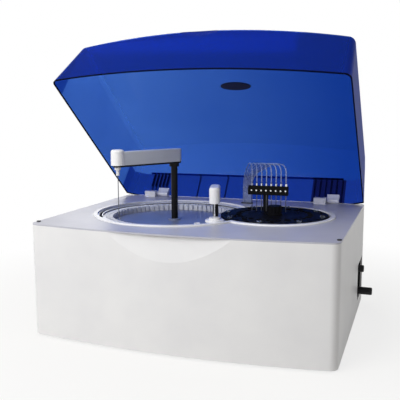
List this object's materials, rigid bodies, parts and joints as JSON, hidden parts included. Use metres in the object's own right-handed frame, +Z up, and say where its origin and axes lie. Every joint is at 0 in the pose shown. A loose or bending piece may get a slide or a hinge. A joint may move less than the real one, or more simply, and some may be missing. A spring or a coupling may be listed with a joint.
{
  "type": "chemistry analyser",
  "caption": "Bench-top chemistry analyser: white bowed case, hinged see-through blue lid, cuvette ring, reagent disc, pipetting arm, mixer and wash head.",
  "frame": {"origin": "on the standing surface, under the middle of the outline with the lid open", "axes": "+Z up, +X to the user's right, the open front faces -Y"},
  "size_m": [0.901, 0.7693, 0.8673],
  "materials": {
    "case_white": "satin white moulded case",
    "deck_grey": "pale grey, faintly lavender",
    "bead_white": "white moulding",
    "lid_blue": "tinted see-through blue, glossy",
    "oval_dark": "dark, matt",
    "liner_dark": "dark, satin",
    "guard_pale": "satin",
    "plate_blue": "polished, blue-grey",
    "ring_grey": "pale, satin",
    "disc_black": "black, semi-gloss",
    "black_plastic": "black, satin",
    "arm_pale": "pale grey-white, smooth",
    "head_white": "white, smooth",
    "column_black": "black, satin",
    "steel": "drawn",
    "bright": "polished",
    "tube_clear": "see-through flexible tube",
    "cup_clear": "clear",
    "hinge_white": "white, satin",
    "foot_rubber": "black",
    "floor_steel": "zinc grey",
    "board_green": "green board",
    "belt_black": "black"
  },
  "bodies": {
    "base": {"housing": "case_white", "deck_cover": "deck_grey", "rim_trim": "bead_white", "floor_plate": "floor_steel", "feet": "foot_rubber", "lid_bumpers": "foot_rubber", "well_liner": "liner_dark", "ring_guard": "guard_pale", "tube_grommet": "foot_rubber", "side_panel": "black_plastic", "upper_fitting": "black_plastic", "lower_fitting": "black_plastic", "power_inlet": "black_plastic", "fan_frame": "black_plastic", "power_supply": "floor_steel", "control_board": "board_green", "syringe_pump": "floor_steel", "drive_bearings": "steel", "drive_belts": "belt_black", "drive_motors": "column_black", "motor_brackets": "floor_steel", "motor_pulleys": "steel", "ring_pedestal": "floor_steel", "disc_pedestal": "floor_steel", "inner_plate": "plate_blue", "mixing_port": "head_white", "wash_well": "head_white", "disc_centre": "disc_black", "hub_knob": "disc_black", "hinges_fixed": "hinge_white", "hinge_pins": "steel"},
    "lid": {"lid_shell": "lid_blue", "lid_oval_plate": "oval_dark", "hinges_moving": "hinge_white"},
    "ring": {"ring_carrier": "guard_pale", "cuvette_ring": "ring_grey", "ring_pulley": "guard_pale"},
    "disc": {"disc_drum": "liner_dark", "reagent_disc": "disc_black", "disc_knobs": "disc_black", "sample_cups": "cup_clear", "disc_pulley": "guard_pale"},
    "mast": {"probe_column": "column_black"},
    "arm": {"probe_plate": "column_black", "probe_arm": "arm_pale", "probe_holder": "head_white", "probe_needle": "steel"},
    "mixer_mast": {"mixer_column": "column_black"},
    "mixer_head": {"mixer_head": "head_white"},
    "mixer_rod": {"mixer_rod": "steel"},
    "wash_head": {"wash_column": "column_black", "wash_bar": "black_plastic", "wash_needles": "steel", "wash_ferrules": "bright", "wash_screws": "bright", "wash_tubes": "tube_clear"},
    "rocker": {"power_rocker": "black_plastic"},
    "fan": {"fan_rotor": "black_plastic"}
  },
  "joints": [
    {"name": "lid_hinge", "type": "hinge", "parent": "base", "child": "lid", "pos_m": [-0.021, 0.278, 0.335], "axis": [1, 0, 0], "range_deg": [0, 39]},
    {"name": "ring_turn", "type": "hinge", "parent": "base", "child": "ring", "pos_m": [-0.133, -0.048, 0.326], "axis": [0, 0, 1], "continuous": true},
    {"name": "disc_turn", "type": "hinge", "parent": "base", "child": "disc", "pos_m": [0.173, -0.014, 0.326], "axis": [0, 0, 1], "continuous": true},
    {"name": "arm_lift", "type": "slide", "parent": "base", "child": "mast", "axis": [0, 0, 1], "range_m": [-0.035, 0]},
    {"name": "arm_turn", "type": "hinge", "parent": "mast", "child": "arm", "pos_m": [-0.133, -0.048, 0.484], "axis": [0, 0, 1], "range_deg": [-240, 0]},
    {"name": "mixer_lift", "type": "slide", "parent": "base", "child": "mixer_mast", "axis": [0, 0, 1], "range_m": [-0.035, 0]},
    {"name": "mixer_turn", "type": "hinge", "parent": "mixer_mast", "child": "mixer_head", "pos_m": [0.019, -0.108, 0.378], "axis": [0, 0, 1], "range_deg": [-60, 0]},
    {"name": "mixer_spin", "type": "hinge", "parent": "mixer_head", "child": "mixer_rod", "pos_m": [0.03493, -0.16558, 0.378], "axis": [0, 0, 1], "continuous": true},
    {"name": "wash_lift", "type": "slide", "parent": "base", "child": "wash_head", "axis": [0, 0, 1], "range_m": [0, 0.025]},
    {"name": "power_rock", "type": "hinge", "parent": "base", "child": "rocker", "pos_m": [0.309, 0.2915, 0.084], "axis": [1, 0, 0], "range_deg": [-12, 0]},
    {"name": "fan_spin", "type": "hinge", "parent": "base", "child": "fan", "pos_m": [-0.301, 0.2895, 0.19], "axis": [0, 1, 0], "continuous": true}
  ]
}
